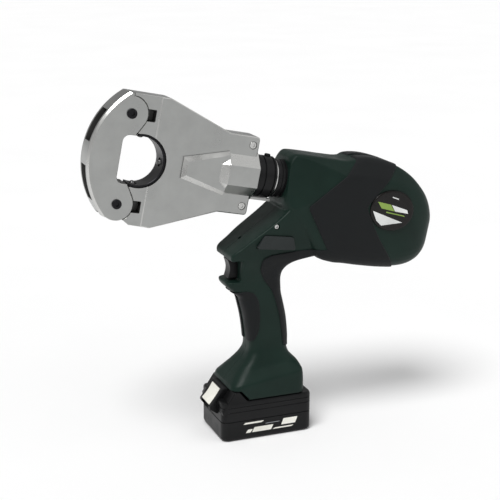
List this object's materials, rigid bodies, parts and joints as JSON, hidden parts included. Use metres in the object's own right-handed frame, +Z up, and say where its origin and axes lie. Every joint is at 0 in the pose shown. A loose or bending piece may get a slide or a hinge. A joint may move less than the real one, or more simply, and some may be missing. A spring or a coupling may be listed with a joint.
{
  "type": "cordless hydraulic crimping tool",
  "caption": "Pistol-grip battery-powered hydraulic crimping tool with a rotating, flip-open head whose indenters close on a round opening.",
  "frame": {"origin": "middle of the battery's flat underside, which the tool stands on", "axes": "+Z up, -X the way the head points, +Y the tool's right-hand side seen from behind"},
  "size_m": [0.4229, 0.0794, 0.413],
  "materials": {
    "cast_aluminium": "satin, fine-ground",
    "dark_steel": "black oxide",
    "bright_steel": "ground",
    "green_plastic": "fine texture, dark green",
    "black_rubber": "matte",
    "black_plastic": "fine texture",
    "grey_plastic": "fine texture",
    "pale_plastic": "satin, off-white",
    "label_film": "printed film with plain stripes",
    "copper": "wound copper",
    "circuit_board": "solder mask",
    "brass": "machined",
    "cell_metal": "sleeved cells"
  },
  "bodies": {
    "housing": {"left_housing": "green_plastic", "right_housing": "green_plastic", "housing_screw_1": "dark_steel", "housing_screw_2": "dark_steel", "housing_screw_3": "dark_steel", "housing_screw_4": "dark_steel", "housing_screw_5": "dark_steel", "housing_screw_6": "dark_steel", "left_side_rubber": "black_rubber", "right_side_rubber": "black_rubber", "left_grip_rubber": "black_rubber", "right_grip_rubber": "black_rubber", "left_back_rubber": "black_rubber", "right_back_rubber": "black_rubber", "left_label": "label_film", "right_label": "label_film", "trigger_switch": "black_plastic", "control_board": "circuit_board", "grip_wiring": "black_rubber", "motor_can": "dark_steel", "gearbox_case": "cast_aluminium", "pump_block": "bright_steel", "oil_reservoir": "black_rubber", "swivel_spigot": "bright_steel", "swivel_seal": "black_rubber", "swivel_race": "bright_steel", "neck_sleeve": "black_plastic", "terminal_block": "black_plastic"},
    "head": {"head_frame": "cast_aluminium", "crimp_liner": "dark_steel", "cylinder_cap": "bright_steel", "neck_collar": "black_plastic", "hinge_pin": "dark_steel", "upper_lug_screw": "bright_steel", "lower_lug_screw": "bright_steel", "return_spring": "bright_steel"},
    "yoke": {"head_yoke": "cast_aluminium"},
    "latch": {"latch_pin": "dark_steel"},
    "ram": {"ram_piston": "bright_steel", "piston_seal": "black_rubber", "rear_indenter": "bright_steel"},
    "upper_punch": {"upper_indenter": "bright_steel"},
    "lower_punch": {"lower_indenter": "bright_steel"},
    "front_punch": {"front_indenter": "bright_steel"},
    "trigger": {"trigger": "black_plastic"},
    "retract": {"retract_button": "grey_plastic"},
    "battery": {"battery_tray": "black_plastic", "battery_lid": "black_plastic", "cell_pack": "cell_metal"},
    "battery_release": {"battery_release_button": "pale_plastic"},
    "rotor": {"motor_rotor": "copper"},
    "crank": {"crank_shaft": "bright_steel", "planet_carrier": "brass"},
    "plunger": {"pump_plunger": "bright_steel"}
  },
  "joints": [
    {"name": "head_swivel", "type": "hinge", "parent": "housing", "child": "head", "pos_m": [0, 0, 0.308], "axis": [-0.9796, 0, 0.2011], "range_deg": [-175, 175]},
    {"name": "yoke_swing", "type": "hinge", "parent": "head", "child": "yoke", "pos_m": [-0.16972, 0, 0.2918], "axis": [0, -1, 0], "range_deg": [0, 85]},
    {"name": "latch_pin_pull", "type": "slide", "parent": "yoke", "child": "latch", "axis": [0, -1, 0], "range_m": [0, 0.033]},
    {"name": "ram_stroke", "type": "slide", "parent": "head", "child": "ram", "axis": [-0.9796, 0, 0.2011], "range_m": [0, 0.018], "stiffness_N_per_m": 1500, "springref_m": -0.004, "deforming": ["return_spring"]},
    {"name": "upper_indenter_stroke", "type": "slide", "parent": "head", "child": "upper_punch", "axis": [-0.2011, 0, -0.9796], "range_m": [0, 0.018]},
    {"name": "lower_indenter_stroke", "type": "slide", "parent": "head", "child": "lower_punch", "axis": [0.2011, 0, 0.9796], "range_m": [0, 0.018]},
    {"name": "front_indenter_stroke", "type": "slide", "parent": "yoke", "child": "front_punch", "axis": [0.9796, 0, -0.2011], "range_m": [0, 0.018]},
    {"name": "trigger_pull", "type": "slide", "parent": "housing", "child": "trigger", "axis": [1, 0, 0], "range_m": [0, 0.0065], "stiffness_N_per_m": 450, "springref_m": -0.002},
    {"name": "retract_press", "type": "slide", "parent": "housing", "child": "retract", "axis": [0, 1, 0], "range_m": [0, 0.003], "stiffness_N_per_m": 700, "springref_m": -0.001},
    {"name": "battery_slide", "type": "slide", "parent": "housing", "child": "battery", "axis": [-1, 0, 0], "range_m": [0, 0.09]},
    {"name": "battery_release_press", "type": "slide", "parent": "battery", "child": "battery_release", "axis": [-0.5633, 0, -0.8262], "range_m": [0, 0.003], "stiffness_N_per_m": 500, "springref_m": -0.001},
    {"name": "motor_spin", "type": "hinge", "parent": "housing", "child": "rotor", "pos_m": [0.14291, 0, 0.25825], "axis": [-0.9796, 0, 0.2011], "continuous": true},
    {"name": "crank_spin", "type": "hinge", "parent": "housing", "child": "crank", "pos_m": [0.08414, 0, 0.27031], "axis": [-0.9796, 0, 0.2011], "continuous": true},
    {"name": "plunger_stroke", "type": "slide", "parent": "housing", "child": "plunger", "axis": [0.2011, 0, 0.9796], "range_m": [-0.0029, 0]}
  ],
  "couplings": [
    {"joint": "upper_indenter_stroke", "follows": "ram_stroke", "ratio": 1},
    {"joint": "lower_indenter_stroke", "follows": "ram_stroke", "ratio": 1},
    {"joint": "front_indenter_stroke", "follows": "ram_stroke", "ratio": 1},
    {"joint": "crank_spin", "follows": "motor_spin", "ratio": 0.25}
  ]
}
